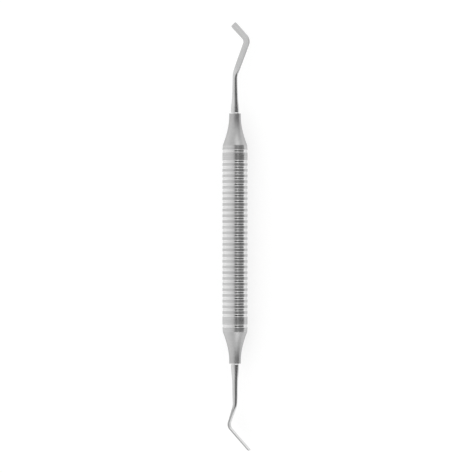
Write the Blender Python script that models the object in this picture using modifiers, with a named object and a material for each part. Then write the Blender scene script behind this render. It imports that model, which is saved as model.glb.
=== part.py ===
"""Double-ended dental filling spatula: a ringed handle with a bent blade at each end.

Units are metres and +Z is up. The instrument lies on its handle with both tips bent
in the horizontal plane. +Y runs along the handle to the side-bent tip, and the
origin is under the middle of the handle, on the surface that it lies on.
Run with: blender --background --python part.py
"""

import math
from typing import NamedTuple

import bmesh
import bpy

MM = 0.001

# Handle: a turned bar with a cone at each end and polished ring grooves
HANDLE_DIAMETER = 10.0 * MM
CONE_LENGTH = 13.0 * MM
NECK_LENGTH = 2.0 * MM
NECK_WALL = 0.58 * MM
RIM_RADIUS = 0.5 * MM
FLARE_POWER = 1.7
SHOULDER_DROP = 0.14 * MM
CROWN_LENGTH = 1.5 * MM
GROOVE_WIDTH = 1.1 * MM
GROOVE_DEPTH = 0.2 * MM
GROOVE_PITCH = 2.25 * MM
PITCH_COUNT = 27
END_BAND = 2.35 * MM
WIDE_BAND = 4.2 * MM

# Shanks: both start as the same round taper, seated in a blind bore of the neck
SHANK_DIAMETER = 3.25 * MM
WAIST_DIAMETER = 2.24 * MM
SLIM_DIAMETER = 1.9 * MM
SHANK_CONE_LENGTH = 7.0 * MM
BORE_DEPTH = 8.0 * MM
BORE_CLEARANCE = 0.1 * MM
TANG_END_GAP = 0.3 * MM

# Bends: back by the slant angle, then over to the blade angle on the other side
BLADE_ANGLE = math.radians(43.0)
FIRST_BEND_RADIUS = 7.0 * MM

# Flattening from the round shank to the blade
FLAT_START = 1.6 * MM
FLAT_END = 3.2 * MM
THROAT_THICKNESS = 0.96 * MM
KNEE_THICKNESS = 0.66 * MM
BLADE_THICKNESS = 0.52 * MM
THROAT_WIDTH = 2.15 * MM
KNEE_WIDTH = 2.45 * MM
BLADE_WIDTH = 2.6 * MM
BLADE_EDGE_RADIUS = 0.2 * MM
BLADE_CORNER_RADIUS = 0.7 * MM

# The side-bent tip: its broad faces lie in the plane of the bends
SIDE_SHANK_LENGTH = 15.0 * MM
SIDE_SLANT_LENGTH = 14.6 * MM
SIDE_BLADE_LENGTH = 8.8 * MM
SIDE_SLANT_ANGLE = math.radians(21.0)
SIDE_KNEE_RADIUS = 2.8 * MM

# The hoe-bent tip: its broad faces stand across the plane of the bends
HOE_SHANK_LENGTH = 16.3 * MM
HOE_SLANT_LENGTH = 8.55 * MM
HOE_BLADE_LENGTH = 12.95 * MM
HOE_SLANT_ANGLE = math.radians(19.0)
HOE_KNEE_RADIUS = 2.6 * MM

# Mesh fineness
HANDLE_SEGMENTS = 32
RIM_STEPS = 3
FLARE_STEPS = 6
GROOVE_STEPS = 3
QUARTER_POINTS = 5
STRAIGHT_STEPS = 4
BEND_STEPS = 3
KNEE_STEPS = 6
CORNER_STEPS = 3
SHARP_ANGLE = math.radians(30.0)
MERGE_DISTANCE = 0.01 * MM

# Sizes that follow from those above
HANDLE_RADIUS = HANDLE_DIAMETER / 2
SHANK_RADIUS = SHANK_DIAMETER / 2
BORE_RADIUS = SHANK_RADIUS + BORE_CLEARANCE
NECK_RADIUS = BORE_RADIUS + NECK_WALL
TANG_LENGTH = BORE_DEPTH - TANG_END_GAP
HALF_CYLINDER = END_BAND + WIDE_BAND + PITCH_COUNT * GROOVE_PITCH / 2
HALF_HANDLE = HALF_CYLINDER + CONE_LENGTH
AXIS_HEIGHT = HANDLE_RADIUS * math.cos(math.pi / HANDLE_SEGMENTS)


class TipPlan(NamedTuple):
    """What sets one working tip apart from the other."""

    name: str
    shank: float
    slant: float
    blade: float
    slant_angle: float
    knee_radius: float
    broad_in_plane: bool
    at_lower_end: bool


SIDE_BENT = TipPlan(
    name="side_bent_tip",
    shank=SIDE_SHANK_LENGTH,
    slant=SIDE_SLANT_LENGTH,
    blade=SIDE_BLADE_LENGTH,
    slant_angle=SIDE_SLANT_ANGLE,
    knee_radius=SIDE_KNEE_RADIUS,
    broad_in_plane=True,
    at_lower_end=False,
)
HOE_BENT = TipPlan(
    name="hoe_bent_tip",
    shank=HOE_SHANK_LENGTH,
    slant=HOE_SLANT_LENGTH,
    blade=HOE_BLADE_LENGTH,
    slant_angle=HOE_SLANT_ANGLE,
    knee_radius=HOE_KNEE_RADIUS,
    broad_in_plane=False,
    at_lower_end=True,
)


def clear_scene():
    """Removes every object of the scene that the script starts in."""
    for old in list(bpy.data.objects):
        bpy.data.objects.remove(old, do_unlink=True)


def make_collection(name):
    """Makes a collection of the scene."""
    collection = bpy.data.collections.new(name)
    bpy.context.scene.collection.children.link(collection)
    return collection


def steel(name, grey, roughness):
    """Makes a stainless steel material."""
    material = bpy.data.materials.new(name)
    material.use_nodes = True
    shader = material.node_tree.nodes["Principled BSDF"]
    shader.inputs["Base Color"].default_value = (grey, grey, grey, 1.0)
    shader.inputs["Metallic"].default_value = 1.0
    shader.inputs["Roughness"].default_value = roughness
    return material


def groove_centres():
    """Heights of the ring grooves along the handle, from its top to its bottom."""
    first = HALF_CYLINDER - END_BAND
    second = first - WIDE_BAND
    regular = [second - step * GROOVE_PITCH for step in range(PITCH_COUNT + 1)]
    return [first, *regular, -first]


def groove_points(centre):
    """Profile of one groove: an arc between its two edges, top to bottom."""
    half = GROOVE_WIDTH / 2
    arc_radius = (half**2 + GROOVE_DEPTH**2) / (2 * GROOVE_DEPTH)
    reach = math.asin(min(1.0, half / arc_radius))
    middle = HANDLE_RADIUS - GROOVE_DEPTH + arc_radius
    points = []
    for step in range(GROOVE_STEPS + 1):
        angle = reach * (1 - 2 * step / GROOVE_STEPS)
        points.append((middle - arc_radius * math.cos(angle), centre + arc_radius * math.sin(angle)))
    return points


def end_points():
    """Profile of the upper end: bore, rim, neck, flare and crowned shoulder."""
    bore_bottom = HALF_HANDLE - BORE_DEPTH
    points = [(0.0, bore_bottom), (BORE_RADIUS, bore_bottom), (BORE_RADIUS, HALF_HANDLE)]
    rim = min(RIM_RADIUS, NECK_WALL)
    for step in range(RIM_STEPS + 1):
        angle = math.pi / 2 * (1 - step / RIM_STEPS)
        radius = NECK_RADIUS - rim + rim * math.cos(angle)
        points.append((radius, HALF_HANDLE - rim + rim * math.sin(angle)))
    flare_top = HALF_HANDLE - NECK_LENGTH
    shoulder_radius = HANDLE_RADIUS - SHOULDER_DROP
    for step in range(FLARE_STEPS + 1):
        along = step / FLARE_STEPS
        radius = NECK_RADIUS + (shoulder_radius - NECK_RADIUS) * along**FLARE_POWER
        points.append((radius, flare_top + (HALF_CYLINDER - flare_top) * along))
    points.append((HANDLE_RADIUS, HALF_CYLINDER - CROWN_LENGTH))
    return points


def handle_profile():
    """Half section of the handle, down its outer side from one bore to the other."""
    upper_end = end_points()
    lower_end = [(radius, -height) for radius, height in reversed(upper_end)]
    grooves = [point for centre in groove_centres() for point in groove_points(centre)]
    return upper_end + grooves + lower_end


def shade_round(mesh):
    """Smooth shading that keeps the sharp edges."""
    mesh.shade_smooth()
    mesh.set_sharp_from_angle(angle=SHARP_ANGLE)


def make_handle(collection, axis, material):
    """Turns the handle about the axis, with a flat of its facets underneath."""
    profile = handle_profile()
    mesh = bpy.data.meshes.new("handle")
    vertices = [(radius, 0.0, height) for radius, height in profile]
    edges = [(index, index + 1) for index in range(len(profile) - 1)]
    mesh.from_pydata(vertices, edges, [])
    mesh.materials.append(material)
    handle = bpy.data.objects.new("handle", mesh)
    collection.objects.link(handle)
    handle.parent = axis
    handle.rotation_euler.z = math.pi / 2 - math.pi / HANDLE_SEGMENTS
    screw = handle.modifiers.new("turn", "SCREW")
    screw.axis = "Z"
    screw.angle = 2 * math.pi
    screw.screw_offset = 0.0
    screw.steps = HANDLE_SEGMENTS
    screw.render_steps = HANDLE_SEGMENTS
    screw.use_merge_vertices = True
    screw.merge_threshold = MERGE_DISTANCE
    screw.use_smooth_shade = True
    return handle


def curve_through(stations):
    """Smooth curve through (place, size) stations that never overshoots them."""
    places = [place for place, size in stations]
    sizes = [size for place, size in stations]
    rises = [
        (sizes[i + 1] - sizes[i]) / (places[i + 1] - places[i]) for i in range(len(places) - 1)
    ]
    slopes = [0.0] * len(places)
    for i in range(1, len(places) - 1):
        before, after = rises[i - 1], rises[i]
        if before * after > 0:
            slopes[i] = 2 * before * after / (before + after)

    def size_at(place):
        if place <= places[0]:
            return sizes[0]
        if place >= places[-1]:
            return sizes[-1]
        i = max(k for k in range(len(places) - 1) if places[k] <= place)
        span = places[i + 1] - places[i]
        t = (place - places[i]) / span
        start = (1 + 2 * t) * (1 - t) ** 2 * sizes[i] + t * (1 - t) ** 2 * span * slopes[i]
        end = t**2 * (3 - 2 * t) * sizes[i + 1] - t**2 * (1 - t) * span * slopes[i + 1]
        return start + end

    return size_at


def route_pieces(plan):
    """Centreline as (length, curvature, steps) pieces: straights joined by bend arcs."""
    knee_angle = plan.slant_angle + BLADE_ANGLE
    first_cut = FIRST_BEND_RADIUS * math.tan(plan.slant_angle / 2)
    knee_cut = plan.knee_radius * math.tan(knee_angle / 2)
    return [
        (plan.shank - first_cut, 0.0, STRAIGHT_STEPS),
        (FIRST_BEND_RADIUS * plan.slant_angle, 1 / FIRST_BEND_RADIUS, BEND_STEPS),
        (plan.slant - first_cut - knee_cut, 0.0, STRAIGHT_STEPS),
        (plan.knee_radius * knee_angle, -1 / plan.knee_radius, KNEE_STEPS),
        (plan.blade - knee_cut, 0.0, STRAIGHT_STEPS),
    ]


def walk(pieces, distance):
    """Point and heading on the centreline at a distance from the mouth of the bore."""
    x, z, heading = 0.0, min(distance, 0.0), 0.0
    for length, curvature, _steps in pieces:
        run = max(0.0, min(length, distance))
        turn = run * curvature
        if curvature:
            x += (math.cos(heading) - math.cos(heading + turn)) / curvature
            z += (math.sin(heading + turn) - math.sin(heading)) / curvature
        else:
            x += run * math.sin(heading)
            z += run * math.cos(heading)
        heading += turn
        distance -= run
    return x, z, heading


def ring_places(pieces):
    """Distances of the lofted rings: the tang, each piece's steps, the rounded end."""
    places = [-TANG_LENGTH, 0.0]
    travelled = 0.0
    for length, _curvature, steps in pieces:
        places += [travelled + length * (step + 1) / steps for step in range(steps)]
        travelled += length
    places = [place for place in places if place < travelled - BLADE_CORNER_RADIUS]
    for step in range(CORNER_STEPS + 1):
        angle = math.pi / 2 * step / CORNER_STEPS
        places.append(travelled - BLADE_CORNER_RADIUS * (1 - math.sin(angle)))
    return places, travelled


def section(half_in_plane, half_across, corner):
    """Rounded rectangle, a circle where both half sizes equal the corner radius."""
    points = []
    for quarter in range(4):
        for index in range(QUARTER_POINTS):
            angle = math.pi / 2 * (quarter + (index + 0.5) / QUARTER_POINTS)
            side = math.copysign(1.0, math.cos(angle))
            face = math.copysign(1.0, math.sin(angle))
            in_plane = side * (half_in_plane - corner) + corner * math.cos(angle)
            across = face * (half_across - corner) + corner * math.sin(angle)
            points.append((in_plane, across))
    return points


def tip_sizes(plan, total):
    """Width, thickness and edge radius of a tip as curves along its centreline."""
    round_end = plan.shank - FLAT_START
    flat_begin = plan.shank + FLAT_END
    knee = plan.shank + plan.slant
    taper = [(0.0, SHANK_DIAMETER), (SHANK_CONE_LENGTH, WAIST_DIAMETER), (round_end, SLIM_DIAMETER)]
    width = [*taper, (flat_begin, THROAT_WIDTH), (knee, KNEE_WIDTH), (total, BLADE_WIDTH)]
    thickness = [
        *taper,
        (flat_begin, THROAT_THICKNESS),
        (knee, KNEE_THICKNESS),
        (total, BLADE_THICKNESS),
    ]
    edge = [(place, size / 2) for place, size in taper]
    edge += [(flat_begin, BLADE_EDGE_RADIUS), (total, BLADE_EDGE_RADIUS)]
    return curve_through(width), curve_through(thickness), curve_through(edge)


def corner_loss(to_end):
    """How much each side of the blade gives way where its end corners are rounded."""
    inside = max(0.0, BLADE_CORNER_RADIUS - to_end)
    return BLADE_CORNER_RADIUS - math.sqrt(max(0.0, BLADE_CORNER_RADIUS**2 - inside**2))


def tip_rings(plan):
    """Sections of a tip, round in the bore and flat at the blade, along its bends."""
    pieces = route_pieces(plan)
    places, total = ring_places(pieces)
    width_at, thickness_at, edge_at = tip_sizes(plan, total)
    rings = []
    for place in places:
        half_width = width_at(place) / 2 - corner_loss(total - place)
        half_thickness = thickness_at(place) / 2
        corner = min(edge_at(place), half_width, half_thickness)
        if plan.broad_in_plane:
            outline = section(half_width, half_thickness, corner)
        else:
            outline = section(half_thickness, half_width, corner)
        x, z, heading = walk(pieces, place)
        rings.append(
            [
                (x + in_plane * math.cos(heading), across, z - in_plane * math.sin(heading))
                for in_plane, across in outline
            ]
        )
    return rings


def loft(name, rings, material):
    """Skins a row of rings into one closed body."""
    shape = bmesh.new()
    loops = [[shape.verts.new(point) for point in ring] for ring in rings]
    for lower, upper in zip(loops, loops[1:]):
        for index in range(len(lower)):
            after = (index + 1) % len(lower)
            shape.faces.new((lower[index], lower[after], upper[after], upper[index]))
    shape.faces.new(reversed(loops[0]))
    shape.faces.new(loops[-1])
    mesh = bpy.data.meshes.new(name)
    shape.to_mesh(mesh)
    shape.free()
    mesh.materials.append(material)
    shade_round(mesh)
    return mesh


def make_tip(plan, collection, axis, material):
    """Makes one working tip, with its tang in the bore at its end of the handle."""
    tip = bpy.data.objects.new(plan.name, loft(plan.name, tip_rings(plan), material))
    collection.objects.link(tip)
    tip.parent = axis
    tip.location.z = -HALF_HANDLE if plan.at_lower_end else HALF_HANDLE
    tip.rotation_euler.y = math.pi if plan.at_lower_end else 0.0
    return tip


def main():
    clear_scene()
    collection = make_collection("dental_spatula")
    satin = steel("satin_steel", grey=0.62, roughness=0.34)
    polished = steel("polished_steel", grey=0.7, roughness=0.2)
    axis = bpy.data.objects.new("instrument_axis", None)
    collection.objects.link(axis)
    axis.location.z = AXIS_HEIGHT
    axis.rotation_euler.x = -math.pi / 2
    make_handle(collection, axis, satin)
    for plan in (SIDE_BENT, HOE_BENT):
        make_tip(plan, collection, axis, polished)
    bpy.context.view_layer.update()


main()
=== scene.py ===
"""Looks of the double-ended dental filling spatula: fine surfaces, steel, light and camera.

Everything is in metres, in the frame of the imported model. +Y runs along the handle to
the side-bent tip, +Z is up, and the instrument lies on its handle.
"""

import math
from typing import NamedTuple

import bmesh
import bpy
from mathutils import Euler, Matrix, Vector


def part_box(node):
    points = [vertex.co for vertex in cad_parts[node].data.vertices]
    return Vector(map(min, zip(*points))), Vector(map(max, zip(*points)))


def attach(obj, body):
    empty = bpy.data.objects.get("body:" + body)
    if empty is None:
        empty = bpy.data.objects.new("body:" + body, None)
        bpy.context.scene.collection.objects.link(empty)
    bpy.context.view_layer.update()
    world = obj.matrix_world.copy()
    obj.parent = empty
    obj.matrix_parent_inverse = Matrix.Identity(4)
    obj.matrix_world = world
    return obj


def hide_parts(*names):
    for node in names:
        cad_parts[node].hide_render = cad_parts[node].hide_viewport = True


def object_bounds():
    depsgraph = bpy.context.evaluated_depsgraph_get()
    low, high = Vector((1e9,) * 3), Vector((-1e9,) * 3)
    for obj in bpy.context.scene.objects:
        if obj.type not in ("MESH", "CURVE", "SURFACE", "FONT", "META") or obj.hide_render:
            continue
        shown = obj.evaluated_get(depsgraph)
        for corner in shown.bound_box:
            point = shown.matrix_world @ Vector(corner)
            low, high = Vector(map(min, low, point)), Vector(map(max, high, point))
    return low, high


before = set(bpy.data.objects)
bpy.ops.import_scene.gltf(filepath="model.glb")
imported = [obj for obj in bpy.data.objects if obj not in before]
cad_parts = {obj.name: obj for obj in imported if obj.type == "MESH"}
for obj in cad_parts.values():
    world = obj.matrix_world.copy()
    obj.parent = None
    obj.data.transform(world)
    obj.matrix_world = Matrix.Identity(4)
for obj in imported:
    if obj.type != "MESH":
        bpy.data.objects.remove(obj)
cad_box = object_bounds()

MM = 0.001

# Handle: sizes as in the solid, with its axis and length taken from the frame; the bore
# closes up on the shank until a fine seam is left, and edges and corners are rounded finely
HANDLE_RADIUS = 5.0 * MM
CONE_LENGTH = 13.0 * MM
NECK_LENGTH = 2.0 * MM
NECK_RADIUS = 2.305 * MM
BORE_RADIUS = 1.65 * MM
BORE_DEPTH = 8.0 * MM
RIM_RADIUS = 0.5 * MM
BORE_EDGE_RADIUS = 0.05 * MM
FLARE_POWER = 1.7
SHOULDER_DROP = 0.14 * MM
SHOULDER_EDGE_RADIUS = 0.35 * MM
CROWN_LENGTH = 1.5 * MM
GROOVE_WIDTH = 1.1 * MM
GROOVE_DEPTH = 0.2 * MM
GROOVE_EDGE_RADIUS = 0.08 * MM
GROOVE_CORNER_RADIUS = 0.2 * MM
GROOVE_PITCH = 2.25 * MM
PITCH_COUNT = 27
END_BAND = 2.35 * MM
WIDE_BAND = 4.2 * MM

# Shanks and blades: sizes as in the solids, with sharper edges and slightly crowned faces
SHANK_DIAMETER = 3.25 * MM
WAIST_DIAMETER = 2.24 * MM
SLIM_DIAMETER = 1.9 * MM
SHANK_CONE_LENGTH = 7.0 * MM
TANG_LENGTH = 7.7 * MM
BLADE_ANGLE = math.radians(43.0)
FIRST_BEND_RADIUS = 7.0 * MM
FLAT_START = 1.6 * MM
FLAT_END = 3.2 * MM
THROAT_THICKNESS = 0.96 * MM
KNEE_THICKNESS = 0.66 * MM
BLADE_THICKNESS = 0.52 * MM
THROAT_WIDTH = 2.15 * MM
KNEE_WIDTH = 2.45 * MM
BLADE_WIDTH = 2.6 * MM
BLADE_EDGE_RADIUS = 0.1 * MM
BLADE_CROWN = 0.04 * MM
BLADE_CORNER_RADIUS = 0.7 * MM
BLADE_NOSE_LENGTH = 0.16 * MM
# Corner, as a share of half the thickness, down to which the narrow walls take the full painted
# shade
SHADED_WALL_CORNER_SHARE = 0.5
# Share of its tone that the steel loses on the narrow walls: painted shade, a dark line along them
WALL_PAINTED_SHADE = 0.26

# Mesh fineness
HANDLE_SEGMENTS = 128
RIM_STEPS = 10
FLARE_STEPS = 36
GROOVE_STEPS = 5
EDGE_STEPS = 3
QUARTER_POINTS = 12
CROWN_STEPS = 6
TANG_STEPS = 2
RING_SPACING = 0.35 * MM
CORNER_STEPS = 14
SHARP_ANGLE = math.radians(35.0)
MERGE_DISTANCE = 0.002 * MM

# Materials: the range in which most of the noise lies, its detail, and the share of a
# turn that lays the gloss across the turned lines
NOISE_LOW = 0.3
NOISE_HIGH = 0.7
COARSE_DETAIL = 2.0
FINE_DETAIL = 3.0
GLOSS_TURN = 0.25

# View: from above, tilted about the length of the instrument, which fills a share of the
# picture; the camera sees from a fraction to a multiple of its distance
VIEW_TILT = math.radians(18.0)
LENS = 200.0
SENSOR = 36.0
FRAME_SHARE = 0.905
CLIP_FACTOR = 10

# Light tent round the instrument: (bearing round its length from the view, in degrees, light)
TENT_LIGHT = (
    (-180.0, 1.0),
    (-165.0, 0.9),
    (-140.0, 0.88),
    (-105.0, 0.95),
    (-80.0, 0.89),
    (-50.0, 0.82),
    (-30.0, 0.77),
    (-10.0, 0.75),
    (20.0, 0.95),
    (115.0, 0.95),
    (135.0, 0.81),
    (150.0, 0.81),
    (170.0, 0.95),
    (180.0, 1.0),
)
# Its change towards both ends: (degrees from straight across, factor)
END_FACTOR = (
    (0.0, 1.0),
    (9.0, 1.0),
    (24.0, 1.34),
    (35.0, 1.4),
    (46.0, 0.94),
    (90.0, 0.84),
    (180.0, 0.84),
)
# How far its window covers the tent: (bearing in degrees, cover)
WINDOW_COVER = (
    (-180.0, 0.0),
    (-50.0, 0.0),
    (-30.0, 0.05),
    (-9.0, 0.25),
    (3.0, 1.0),
    (23.0, 1.0),
    (25.0, 0.5),
    (28.0, 0.5),
    (30.0, 1.0),
    (89.0, 0.95),
    (96.0, 0.0),
    (180.0, 0.0),
)
# Light in the window, which is dark only in its middle: (slope in degrees of the metal
# that mirrors it to the view, light)
WINDOW_LIGHT = (
    (0.0, 0.1),
    (11.0, 0.1),
    (13.5, 1.0),
    (23.0, 1.0),
    (30.0, 0.55),
    (180.0, 0.55),
)

# One round lamp towards each end, soft between its core and its radius
LAMP_BEARING = math.radians(29.0)
LAMP_RISE = math.radians(50.0)
LAMP_RADIUS = math.radians(22.0)
LAMP_CORE = math.radians(8.0)
LAMP_LIGHT = (1.9, 1.9, 1.9, 1.0)

# Stage
FLOOR_SIZE = 6.0
FLOOR_SHADE = (0.4, 0.4, 0.4, 1.0)
FLOOR_LIFT = 0.7
WHITE = (1.0, 1.0, 1.0, 1.0)

handle_low, handle_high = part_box("handle")
AXIS_HEIGHT = (handle_low.z + handle_high.z) / 2
HALF_HANDLE = handle_high.y
HALF_CYLINDER = HALF_HANDLE - CONE_LENGTH
FLOOR_HEIGHT = AXIS_HEIGHT - HANDLE_RADIUS


class TipPlan(NamedTuple):
    """What sets one working tip apart from the other."""

    node: str
    shank: float
    slant: float
    blade: float
    slant_angle: float
    knee_radius: float
    broad_in_plane: bool
    end: int


SIDE_BENT = TipPlan(
    node="side_bent_tip",
    shank=15.0 * MM,
    slant=14.6 * MM,
    blade=8.8 * MM,
    slant_angle=math.radians(21.0),
    knee_radius=2.8 * MM,
    broad_in_plane=True,
    end=1,
)
HOE_BENT = TipPlan(
    node="hoe_bent_tip",
    shank=16.3 * MM,
    slant=8.55 * MM,
    blade=12.95 * MM,
    slant_angle=math.radians(19.0),
    knee_radius=2.6 * MM,
    broad_in_plane=False,
    end=-1,
)


# Nodes

def add_node(tree, kind, inputs=None, **options):
    """Adds a node, sets its options, and fills or links its inputs."""
    node = tree.nodes.new(kind)
    for option, value in options.items():
        setattr(node, option, value)
    for socket, value in (inputs or {}).items():
        if isinstance(value, bpy.types.NodeSocket):
            tree.links.new(value, node.inputs[socket])
        else:
            node.inputs[socket].default_value = value
    return node


def maths(tree, operation, *values):
    """Result of a sum over numbers and sockets."""
    inputs = dict(enumerate(values))
    return add_node(tree, "ShaderNodeMath", inputs, operation=operation).outputs["Value"]


def grain(tree, place, features_per_mm, detail):
    """Noise with its own number of features per millimetre along each axis."""
    scale = [count / MM for count in features_per_mm]
    stretched = add_node(
        tree, "ShaderNodeMapping", {"Vector": place, "Scale": scale}, vector_type="POINT"
    )
    return add_node(
        tree,
        "ShaderNodeTexNoise",
        {"Vector": stretched.outputs["Vector"], "Scale": 1.0, "Detail": detail},
    ).outputs["Fac"]


def between(tree, factor, low, high):
    """Maps noise from the values that it mostly has to a range."""
    return add_node(
        tree,
        "ShaderNodeMapRange",
        {
            "Value": factor,
            "From Min": NOISE_LOW,
            "From Max": NOISE_HIGH,
            "To Min": low,
            "To Max": high,
        },
    ).outputs["Result"]


# Steel

class Finish(NamedTuple):
    """One finish of the steel: its tone, gloss and the lines that its tool left."""

    name: str
    grey: float
    grey_change: float
    roughness: float
    roughness_change: float
    anisotropy: float
    coarse_lines: tuple
    coarse_depth: float
    fine_lines: tuple
    fine_depth: float
    turned: bool


SATIN = Finish(
    name="satin_turned_steel",
    grey=0.58,
    grey_change=0.04,
    roughness=0.3,
    roughness_change=0.05,
    anisotropy=0.6,
    coarse_lines=(0.05, 2.2, 0.05),
    coarse_depth=0.0032 * MM,
    fine_lines=(0.2, 8.0, 0.2),
    fine_depth=0.0008 * MM,
    turned=True,
)
BLASTED = Finish(
    name="blasted_cone_steel",
    grey=0.49,
    grey_change=0.02,
    roughness=0.42,
    roughness_change=0.04,
    anisotropy=0.0,
    coarse_lines=(1.2, 1.2, 1.2),
    coarse_depth=0.0012 * MM,
    fine_lines=(12.0, 12.0, 12.0),
    fine_depth=0.0006 * MM,
    turned=False,
)
POLISHED = Finish(
    name="polished_turned_steel",
    grey=0.78,
    grey_change=0.02,
    roughness=0.1,
    roughness_change=0.03,
    anisotropy=0.3,
    coarse_lines=(0.05, 4.0, 0.05),
    coarse_depth=0.0006 * MM,
    fine_lines=(0.2, 9.0, 0.2),
    fine_depth=0.0003 * MM,
    turned=True,
)
RIM = POLISHED._replace(name="brushed_rim_steel", grey=0.8, roughness=0.18)
BLADE = Finish(
    name="polished_tip_steel",
    grey=0.69,
    grey_change=0.03,
    roughness=0.2,
    roughness_change=0.05,
    anisotropy=0.0,
    coarse_lines=(1.6, 1.6, 0.25),
    coarse_depth=0.0012 * MM,
    fine_lines=(9.0, 9.0, 0.6),
    fine_depth=0.0004 * MM,
    turned=False,
)


def steel(finish):
    """Steel with the fine lines, tone and gloss of a finish, with painted shade darkening the
    narrow walls.
    """
    material = bpy.data.materials.new(finish.name)
    material.use_nodes = True
    tree = material.node_tree
    shader = tree.nodes["Principled BSDF"]
    place = add_node(tree, "ShaderNodeAttribute", attribute_name="tool_path").outputs["Vector"]
    coarse = grain(tree, place, finish.coarse_lines, COARSE_DETAIL)
    fine = grain(tree, place, finish.fine_lines, FINE_DETAIL)
    tone = between(
        tree,
        coarse,
        finish.grey - finish.grey_change,
        finish.grey + finish.grey_change,
    )
    # Painted shade: the tone is darkened on the narrow walls of the tips
    wall = add_node(tree, "ShaderNodeAttribute", attribute_name="painted_wall_shade").outputs["Fac"]
    kept = maths(tree, "MULTIPLY_ADD", wall, -WALL_PAINTED_SHADE, 1.0)
    grey = maths(tree, "MULTIPLY", tone, kept)
    rough = between(
        tree,
        fine,
        finish.roughness - finish.roughness_change,
        finish.roughness + finish.roughness_change,
    )
    coarse_bump = add_node(
        tree, "ShaderNodeBump", {"Height": coarse, "Distance": finish.coarse_depth}
    )
    bump = add_node(
        tree,
        "ShaderNodeBump",
        {
            "Height": fine,
            "Distance": finish.fine_depth,
            "Normal": coarse_bump.outputs["Normal"],
        },
    )
    tree.links.new(grey, shader.inputs["Base Color"])
    tree.links.new(rough, shader.inputs["Roughness"])
    tree.links.new(bump.outputs["Normal"], shader.inputs["Normal"])
    shader.inputs["Metallic"].default_value = 1.0
    if finish.turned:
        tangent = add_node(tree, "ShaderNodeTangent", direction_type="RADIAL", axis="Y")
        tree.links.new(tangent.outputs["Tangent"], shader.inputs["Tangent"])
        shader.inputs["Anisotropic"].default_value = finish.anisotropy
        shader.inputs["Anisotropic Rotation"].default_value = GLOSS_TURN
    return material


# Handle

def arc(centre, radius, start, end, steps):
    """Points along an arc in (radius, height), angles in radians from outwards."""
    points = []
    for step in range(steps + 1):
        angle = start + (end - start) * step / steps
        points.append((centre[0] + radius * math.cos(angle), centre[1] + radius * math.sin(angle)))
    return points


def rounded_corner(before, corner, after, radius, steps):
    """Points of the arc that rounds off a corner of an outline."""
    corner = Vector(corner)
    back = (Vector(before) - corner).normalized()
    ahead = (Vector(after) - corner).normalized()
    half = back.angle(ahead) / 2
    reach = radius / math.tan(half)
    centre = corner + (back + ahead).normalized() * radius / math.sin(half)
    start = (corner + back * reach - centre).normalized()
    end = (corner + ahead * reach - centre).normalized()
    return [tuple(centre + start.slerp(end, step / steps) * radius) for step in range(steps + 1)]


def groove_centres():
    """Heights of the ring grooves along the handle, from its top to its bottom."""
    first = HALF_CYLINDER - END_BAND
    second = first - WIDE_BAND
    regular = [second - step * GROOVE_PITCH for step in range(PITCH_COUNT + 1)]
    return [first, *regular, -first]


def groove_points(centre):
    """Outline of one groove: a flat floor, hollow corners and a small rounding at each edge."""
    reach = GROOVE_CORNER_RADIUS + GROOVE_EDGE_RADIUS
    turn = math.acos(1 - GROOVE_DEPTH / reach)
    half = GROOVE_WIDTH / 2
    half_floor = half - reach * math.sin(turn)
    edge_axis = HANDLE_RADIUS - GROOVE_EDGE_RADIUS
    corner_axis = HANDLE_RADIUS - GROOVE_DEPTH + GROOVE_CORNER_RADIUS
    upper_edge = arc((edge_axis, centre + half), GROOVE_EDGE_RADIUS, 0.0, -turn, EDGE_STEPS)
    upper_corner = arc(
        (corner_axis, centre + half_floor),
        GROOVE_CORNER_RADIUS,
        math.pi - turn,
        math.pi,
        GROOVE_STEPS,
    )
    lower_corner = arc(
        (corner_axis, centre - half_floor),
        GROOVE_CORNER_RADIUS,
        math.pi,
        math.pi + turn,
        GROOVE_STEPS,
    )
    lower_edge = arc((edge_axis, centre - half), GROOVE_EDGE_RADIUS, turn, 0.0, EDGE_STEPS)
    return upper_edge + upper_corner[1:] + lower_corner[:-1] + lower_edge


def bore_and_rim_points():
    """Outline from the bottom of the bore over the rounded rim to the neck."""
    bottom = HALF_HANDLE - BORE_DEPTH
    mouth = (BORE_RADIUS, HALF_HANDLE)
    rim_start = (NECK_RADIUS - RIM_RADIUS, HALF_HANDLE)
    inner_edge = rounded_corner(
        (BORE_RADIUS, bottom), mouth, rim_start, BORE_EDGE_RADIUS, EDGE_STEPS
    )
    rim_axis = (NECK_RADIUS - RIM_RADIUS, HALF_HANDLE - RIM_RADIUS)
    rim = arc(rim_axis, RIM_RADIUS, math.pi / 2, 0.0, RIM_STEPS)
    return [(0.0, bottom), (BORE_RADIUS, bottom), *inner_edge, *rim]


def cone_points():
    """Outline of the neck, the flaring cone and the crowned shoulder."""
    flare_top = HALF_HANDLE - NECK_LENGTH
    shoulder_radius = HANDLE_RADIUS - SHOULDER_DROP
    flare = []
    for step in range(FLARE_STEPS + 1):
        along = step / FLARE_STEPS
        radius = NECK_RADIUS + (shoulder_radius - NECK_RADIUS) * along**FLARE_POWER
        flare.append((radius, flare_top + (HALF_CYLINDER - flare_top) * along))
    crown_end = (HANDLE_RADIUS, HALF_CYLINDER - CROWN_LENGTH)
    shoulder = rounded_corner(flare[-2], flare[-1], crown_end, SHOULDER_EDGE_RADIUS, EDGE_STEPS)
    return [*flare[:-1], *shoulder]


def handle_outline():
    """The handle's outline as (finish, points) stretches from one bore to the other."""
    rim = bore_and_rim_points()
    upper_end = [(RIM, rim), (BLASTED, [rim[-1], *cone_points()])]
    crown_end = HALF_CYLINDER - CROWN_LENGTH
    grooves = [(POLISHED, groove_points(centre)) for centre in groove_centres()]
    lower_end = [
        (finish, [(radius, -height) for radius, height in reversed(points)])
        for finish, points in reversed(upper_end)
    ]
    upper_crown = (SATIN, [(HANDLE_RADIUS, crown_end)])
    lower_crown = (SATIN, [(HANDLE_RADIUS, -crown_end)])
    return [*upper_end, upper_crown, *grooves, lower_crown, *lower_end]


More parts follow.
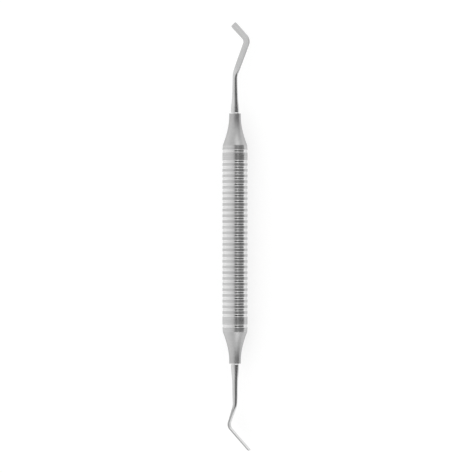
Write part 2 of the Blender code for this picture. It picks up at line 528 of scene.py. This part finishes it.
def make_handle(finishes):
    """Turns the outline about the axis. What lies between its stretches is satin."""
    order = list(finishes)
    points = []
    slots = []
    for finish, stretch in handle_outline():
        if points and points[-1] == stretch[0]:
            points.pop()
            slots.pop()
        points += stretch
        slots += [order.index(finish)] * (len(stretch) - 1) + [order.index(SATIN)]
    shape = bmesh.new()
    tool_path = shape.verts.layers.float_vector.new("tool_path")
    rings = []
    for radius, height in points:
        ring = []
        count = HANDLE_SEGMENTS if radius > 0 else 1
        for index in range(count):
            angle = 2 * math.pi * index / HANDLE_SEGMENTS
            place = (radius * math.sin(angle), height, AXIS_HEIGHT + radius * math.cos(angle))
            vertex = shape.verts.new(place)
            vertex[tool_path] = place
            ring.append(vertex)
        rings.append(ring)
    for upper, lower, slot in zip(rings, rings[1:], slots):
        for index in range(HANDLE_SEGMENTS):
            after = (index + 1) % HANDLE_SEGMENTS
            corners = [
                upper[index % len(upper)],
                upper[after % len(upper)],
                lower[after % len(lower)],
                lower[index % len(lower)],
            ]
            face = shape.faces.new(list(dict.fromkeys(corners)))
            face.material_index = slot
    bmesh.ops.recalc_face_normals(shape, faces=shape.faces[:])
    return finish_piece("turned_handle", shape, finishes.values())


# Tips

def curve_through(stations):
    """Smooth curve through (place, size) stations that never overshoots them."""
    places = [place for place, size in stations]
    sizes = [size for place, size in stations]
    rises = [
        (sizes[i + 1] - sizes[i]) / (places[i + 1] - places[i]) for i in range(len(places) - 1)
    ]
    slopes = [0.0] * len(places)
    for i in range(1, len(places) - 1):
        before, after = rises[i - 1], rises[i]
        if before * after > 0:
            slopes[i] = 2 * before * after / (before + after)

    def size_at(place):
        if place <= places[0]:
            return sizes[0]
        if place >= places[-1]:
            return sizes[-1]
        i = max(k for k in range(len(places) - 1) if places[k] <= place)
        span = places[i + 1] - places[i]
        t = (place - places[i]) / span
        start = (1 + 2 * t) * (1 - t) ** 2 * sizes[i] + t * (1 - t) ** 2 * span * slopes[i]
        end = t**2 * (3 - 2 * t) * sizes[i + 1] - t**2 * (1 - t) * span * slopes[i + 1]
        return start + end

    return size_at


def route_pieces(plan):
    """Centreline as (length, curvature) pieces: straights joined by bend arcs."""
    knee_angle = plan.slant_angle + BLADE_ANGLE
    first_cut = FIRST_BEND_RADIUS * math.tan(plan.slant_angle / 2)
    knee_cut = plan.knee_radius * math.tan(knee_angle / 2)
    return [
        (plan.shank - first_cut, 0.0),
        (FIRST_BEND_RADIUS * plan.slant_angle, 1 / FIRST_BEND_RADIUS),
        (plan.slant - first_cut - knee_cut, 0.0),
        (plan.knee_radius * knee_angle, -1 / plan.knee_radius),
        (plan.blade - knee_cut, 0.0),
    ]


def walk(pieces, distance):
    """Point and heading on the centreline at a distance from the mouth of the bore."""
    x, y, heading = 0.0, min(distance, 0.0), 0.0
    for length, curvature in pieces:
        run = max(0.0, min(length, distance))
        turn = run * curvature
        if curvature:
            x += (math.cos(heading) - math.cos(heading + turn)) / curvature
            y += (math.sin(heading + turn) - math.sin(heading)) / curvature
        else:
            x += run * math.sin(heading)
            y += run * math.cos(heading)
        heading += turn
        distance -= run
    return x, y, heading


def ring_places(total):
    """Distances of the lofted rings: the tang, even steps, then the rounded end."""
    places = [-TANG_LENGTH * (1 - step / TANG_STEPS) for step in range(TANG_STEPS)]
    corner_start = total - BLADE_CORNER_RADIUS
    count = round(corner_start / RING_SPACING)
    places += [corner_start * step / count for step in range(count)]
    for step in range(CORNER_STEPS + 1):
        angle = math.pi / 2 * step / CORNER_STEPS
        places.append(corner_start + BLADE_CORNER_RADIUS * math.sin(angle))
    return places


def section(half_width, half_thickness, corner, crown):
    """Rounded rectangle with crowned broad faces, a circle where it is all corner.

    Each point is (across, out, share of the painted shade on the narrow wall).
    """
    # Painted shade on the narrow walls: full where they are flat, none where they are all corner
    flatness = min(1.0, (1.0 - corner / half_thickness) / (1.0 - SHADED_WALL_CORNER_SHARE))
    points = []
    for quarter in range(4):
        for index in range(QUARTER_POINTS):
            angle = math.pi / 2 * (quarter + (index + 0.5) / QUARTER_POINTS)
            side = math.copysign(1.0, math.cos(angle))
            face = math.copysign(1.0, math.sin(angle))
            across = side * (half_width - corner) + corner * math.cos(angle)
            out = face * (half_thickness - corner) + corner * math.sin(angle)
            points.append((across, out, flatness * abs(math.cos(angle))))
        if quarter in (0, 2):
            face = 1.0 - quarter
            for step in range(1, CROWN_STEPS):
                share = 1.0 - 2.0 * step / CROWN_STEPS
                rise = crown * (1.0 - share**2)
                across = face * share * (half_width - corner)
                points.append((across, face * (half_thickness + rise), 0.0))
    return points


def tip_sizes(plan, total):
    """Width, thickness and edge radius of a tip as curves along its centreline."""
    round_end = plan.shank - FLAT_START
    flat_begin = plan.shank + FLAT_END
    knee = plan.shank + plan.slant
    taper = [(0.0, SHANK_DIAMETER), (SHANK_CONE_LENGTH, WAIST_DIAMETER), (round_end, SLIM_DIAMETER)]
    width = [*taper, (flat_begin, THROAT_WIDTH), (knee, KNEE_WIDTH), (total, BLADE_WIDTH)]
    thickness = [
        *taper,
        (flat_begin, THROAT_THICKNESS),
        (knee, KNEE_THICKNESS),
        (total, BLADE_THICKNESS),
    ]
    edge = [(place, size / 2) for place, size in taper]
    edge += [(flat_begin, BLADE_EDGE_RADIUS), (total, BLADE_EDGE_RADIUS)]
    return curve_through(width), curve_through(thickness), curve_through(edge)


def rounding_loss(to_end, radius):
    """How far a side gives way at a distance from an end that is rounded off."""
    inside = max(0.0, radius - to_end)
    return radius - math.sqrt(max(0.0, radius**2 - inside**2))


def tip_rings(plan):
    """Rings of (place in the frame, place on the straightened tip, share of painted wall shade)
    points.
    """
    pieces = route_pieces(plan)
    total = sum(length for length, curvature in pieces)
    width_at, thickness_at, edge_at = tip_sizes(plan, total)
    rings = []
    for place in ring_places(total):
        half_width = width_at(place) / 2 - rounding_loss(total - place, BLADE_CORNER_RADIUS)
        half_thickness = thickness_at(place) / 2 - rounding_loss(total - place, BLADE_NOSE_LENGTH)
        corner = min(edge_at(place), half_width, half_thickness)
        crown = BLADE_CROWN * max(0.0, 1.0 - corner / half_thickness)
        outline = section(half_width, half_thickness, corner, crown)
        if not plan.broad_in_plane:
            outline = [(-out, across, wall) for across, out, wall in outline]
        x, y, heading = walk(pieces, place)
        ring = []
        for in_plane, across, wall in outline:
            out = x + in_plane * math.cos(heading)
            ahead = y - in_plane * math.sin(heading)
            spot = (plan.end * out, plan.end * (HALF_HANDLE + ahead), AXIS_HEIGHT + across)
            ring.append((Vector(spot), Vector((in_plane, across, place)), wall))
        rings.append(ring)
    return rings


def make_tip(plan, material):
    """Lofts one working tip, merging the points that fall together where it is round."""
    shape = bmesh.new()
    tool_path = shape.verts.layers.float_vector.new("tool_path")
    painted_wall_shade = shape.verts.layers.float.new("painted_wall_shade")
    loops = []
    for ring in tip_rings(plan):
        loop = []
        for spot, straight, wall in ring:
            vertex = shape.verts.new(spot)
            vertex[tool_path] = straight
            # Share of the painted shade that darkens the narrow walls
            vertex[painted_wall_shade] = wall
            loop.append(vertex)
        loops.append(loop)
    for lower, upper in zip(loops, loops[1:]):
        for index in range(len(lower)):
            after = (index + 1) % len(lower)
            shape.faces.new((lower[index], lower[after], upper[after], upper[index]))
    shape.faces.new(loops[0])
    shape.faces.new(loops[-1])
    bmesh.ops.remove_doubles(shape, verts=shape.verts[:], dist=MERGE_DISTANCE)
    bmesh.ops.recalc_face_normals(shape, faces=shape.faces[:])
    return finish_piece("fine_" + plan.node, shape, [material])


# Pieces

def finish_piece(name, shape, materials):
    """Makes an object from a bmesh, smooth but for its sharp edges."""
    mesh = bpy.data.meshes.new(name)
    shape.to_mesh(mesh)
    shape.free()
    for material in materials:
        mesh.materials.append(material)
    mesh.shade_smooth()
    mesh.set_sharp_from_angle(angle=SHARP_ANGLE)
    piece = bpy.data.objects.new(name, mesh)
    bpy.context.scene.collection.objects.link(piece)
    return piece


def dress(piece, node):
    """Puts a piece in place of the solid that it refines."""
    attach(piece, "root")
    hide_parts(node)


# Stage

def flat_plane(name, width, length, centre):
    """A level rectangle of the stage."""
    mesh = bpy.data.meshes.new(name)
    signs = ((-1, -1), (1, -1), (1, 1), (-1, 1))
    corners = [(x * width / 2, y * length / 2, 0.0) for x, y in signs]
    mesh.from_pydata(corners, [], [(0, 1, 2, 3)])
    plane = bpy.data.objects.new(name, mesh)
    plane.location = centre
    bpy.context.scene.collection.objects.link(plane)
    return plane


def floor_material():
    """White floor that takes shadows, lifted to full white for the camera."""
    material = bpy.data.materials.new("white_floor")
    material.use_nodes = True
    tree = material.node_tree
    tree.nodes.clear()
    paper = add_node(tree, "ShaderNodeBsdfDiffuse", {"Color": FLOOR_SHADE})
    ray = add_node(tree, "ShaderNodeLightPath")
    lift = maths(tree, "MULTIPLY", ray.outputs["Is Camera Ray"], FLOOR_LIFT)
    glow = add_node(tree, "ShaderNodeEmission", {"Strength": lift})
    both = add_node(
        tree, "ShaderNodeAddShader", {0: paper.outputs["BSDF"], 1: glow.outputs["Emission"]}
    )
    add_node(tree, "ShaderNodeOutputMaterial", {"Surface": both.outputs["Shader"]})
    return material


def make_stage():
    """Lays the floor, which the metal doesn't mirror: it shows the tent going on below."""
    floor = flat_plane("floor", FLOOR_SIZE, FLOOR_SIZE, (0.0, 0.0, FLOOR_HEIGHT))
    floor.data.materials.append(floor_material())
    floor.visible_glossy = False


# Light and view

def view_axes():
    """Unit vectors towards the camera and to the image's right."""
    towards = Vector((math.sin(VIEW_TILT), 0.0, math.cos(VIEW_TILT)))
    right = Vector((math.cos(VIEW_TILT), 0.0, -math.sin(VIEW_TILT)))
    return towards, right


def dot(tree, direction, axis):
    """Component of a direction along a fixed axis."""
    return add_node(
        tree,
        "ShaderNodeVectorMath",
        {0: direction, 1: axis},
        operation="DOT_PRODUCT",
    ).outputs["Value"]


def mix(tree, share, first, second):
    """Mixes two colours."""
    return add_node(
        tree, "ShaderNodeMixRGB", {"Fac": share, "Color1": first, "Color2": second}
    ).outputs["Color"]


def light_ramp(tree, angle, lowest, stops):
    """Grey level over an angle up to half a turn, through (degrees, level) stops."""
    share = add_node(
        tree,
        "ShaderNodeMapRange",
        {"Value": angle, "From Min": math.radians(lowest), "From Max": math.pi},
    ).outputs["Result"]
    ramp = add_node(tree, "ShaderNodeValToRGB", {"Fac": share})
    elements = ramp.color_ramp.elements
    while len(elements) < len(stops):
        elements.new(1.0)
    for element, (degrees, level) in zip(elements, stops):
        element.position = (degrees - lowest) / (180.0 - lowest)
        element.color = (level, level, level, 1.0)
    return ramp.outputs["Color"]


def make_world():
    """Pale light tent with a dark window beside the view and a lamp towards each end."""
    world = bpy.data.worlds.new("light_tent")
    bpy.context.scene.world = world
    world.use_nodes = True
    tree = world.node_tree
    tree.nodes.clear()
    towards, right = view_axes()
    direction = add_node(tree, "ShaderNodeTexCoord").outputs["Generated"]
    facing = dot(tree, direction, towards)
    bearing = maths(tree, "ARCTAN2", dot(tree, direction, right), facing)
    sideways = maths(tree, "ABSOLUTE", dot(tree, direction, (0.0, 1.0, 0.0)))
    lean = maths(tree, "ARCSINE", sideways)
    tent = add_node(
        tree,
        "ShaderNodeMixRGB",
        {
            "Fac": 1.0,
            "Color1": light_ramp(tree, bearing, -180.0, TENT_LIGHT),
            "Color2": light_ramp(tree, lean, 0.0, END_FACTOR),
        },
        blend_type="MULTIPLY",
    ).outputs["Color"]
    # The metal that mirrors a direction to the view faces along the sum of both unit
    # vectors, whose length is the root of 2 + 2 * facing
    sum_length = maths(tree, "SQRT", maths(tree, "MULTIPLY_ADD", facing, 2.0, 2.0))
    slope = maths(tree, "ARCSINE", maths(tree, "DIVIDE", sideways, sum_length))
    cover = light_ramp(tree, bearing, -180.0, WINDOW_COVER)
    tent = mix(tree, cover, tent, light_ramp(tree, slope, 0.0, WINDOW_LIGHT))
    lamp = towards * math.cos(LAMP_BEARING) + right * math.sin(LAMP_BEARING)
    across = dot(tree, direction, lamp * math.cos(LAMP_RISE))
    nearness = maths(tree, "MULTIPLY_ADD", sideways, math.sin(LAMP_RISE), across)
    glow = add_node(
        tree,
        "ShaderNodeMapRange",
        {
            "Value": nearness,
            "From Min": math.cos(LAMP_RADIUS),
            "From Max": math.cos(LAMP_CORE),
        },
        interpolation_type="SMOOTHSTEP",
    ).outputs["Result"]
    tent = mix(tree, glow, tent, LAMP_LIGHT)
    ray = add_node(tree, "ShaderNodeLightPath")
    seen = mix(tree, ray.outputs["Is Camera Ray"], tent, WHITE)
    background = add_node(tree, "ShaderNodeBackground", {"Color": seen})
    add_node(tree, "ShaderNodeOutputWorld", {"Surface": background.outputs["Background"]})


def make_camera():
    """A long lens that takes in the whole instrument, upright in the picture."""
    low, high = cad_box
    middle = (low + high) / 2
    distance = (high.y - low.y) / FRAME_SHARE * LENS / SENSOR
    towards, right = view_axes()
    data = bpy.data.cameras.new("camera")
    data.lens = LENS
    data.sensor_width = SENSOR
    data.clip_start = distance / CLIP_FACTOR
    data.clip_end = distance * CLIP_FACTOR
    camera = bpy.data.objects.new("camera", data)
    camera.location = middle + towards * distance
    camera.rotation_euler = Euler((0.0, VIEW_TILT, 0.0))
    bpy.context.scene.collection.objects.link(camera)
    bpy.context.scene.camera = camera


def main():
    """Dresses the solids, then sets the stage, the light and the camera."""
    finishes = {finish: steel(finish) for finish in (SATIN, BLASTED, POLISHED, RIM)}
    handle = make_handle(finishes)
    dress(handle, "handle")
    tip_steel = steel(BLADE)
    for plan in (SIDE_BENT, HOE_BENT):
        dress(make_tip(plan, tip_steel), plan.node)
    make_stage()
    make_world()
    make_camera()
    bpy.context.scene.view_settings.view_transform = "Standard"


main()
